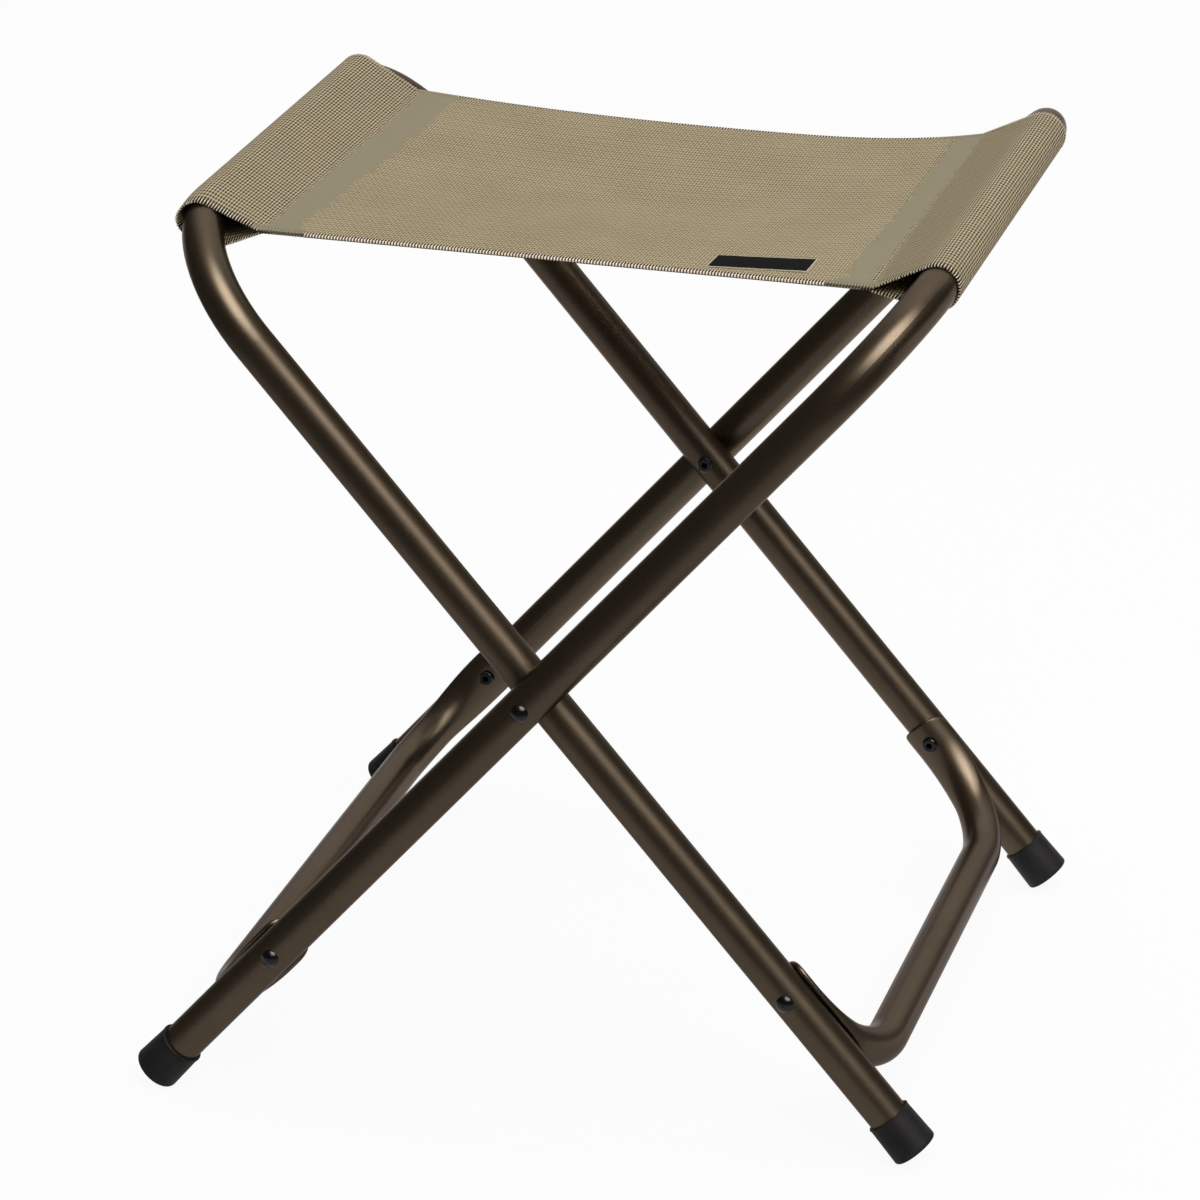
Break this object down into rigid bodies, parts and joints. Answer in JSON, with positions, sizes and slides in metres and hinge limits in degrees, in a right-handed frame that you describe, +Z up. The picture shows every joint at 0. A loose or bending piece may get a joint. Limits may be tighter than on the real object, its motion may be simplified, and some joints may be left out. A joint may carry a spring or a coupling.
{
  "type": "folding camp stool",
  "caption": "Folding camp stool: two crossed tube frames hinged where they cross, with a mesh cloth seat stretched between the top rails.",
  "frame": {"origin": "on the floor, under the middle of the open stool", "axes": "+X towards the outer frame's top rail, +Y towards the rear along the rails, +Z up"},
  "size_m": [0.3952, 0.393, 0.44],
  "materials": {
    "bronze_tube": "satin metallic",
    "black_rubber": "matt moulded",
    "black_rivet": "satin",
    "black_washer": "plain",
    "khaki_mesh": "woven coated mesh",
    "sage_weld": "smooth welded mesh",
    "black_label": "woven, bare"
  },
  "bodies": {
    "outer_frame": {"outer_frame_tube": "bronze_tube", "outer_stretcher": "bronze_tube", "front_left_foot_cap": "black_rubber", "rear_left_foot_cap": "black_rubber", "front_pivot_rivet": "black_rivet", "rear_pivot_rivet": "black_rivet", "front_pivot_washer": "black_washer", "rear_pivot_washer": "black_washer", "front_left_stretcher_rivet": "black_rivet", "rear_left_stretcher_rivet": "black_rivet", "right_sleeve": "khaki_mesh", "seat_panel": "khaki_mesh", "left_underlap": "sage_weld", "right_underlap": "sage_weld", "front_hem": "khaki_mesh", "rear_hem": "khaki_mesh", "label": "black_label"},
    "inner_frame": {"inner_frame_tube": "bronze_tube", "inner_stretcher": "bronze_tube", "front_right_foot_cap": "black_rubber", "rear_right_foot_cap": "black_rubber", "front_right_stretcher_rivet": "black_rivet", "rear_right_stretcher_rivet": "black_rivet", "left_sleeve": "khaki_mesh"}
  },
  "joints": [
    {"name": "fold", "type": "hinge", "parent": "outer_frame", "child": "inner_frame", "pos_m": [0, 0, 0.22337], "axis": [0, 1, 0], "range_deg": [0, 72], "deforming": ["seat_panel", "left_underlap", "right_underlap", "front_hem", "rear_hem", "label"]}
  ]
}
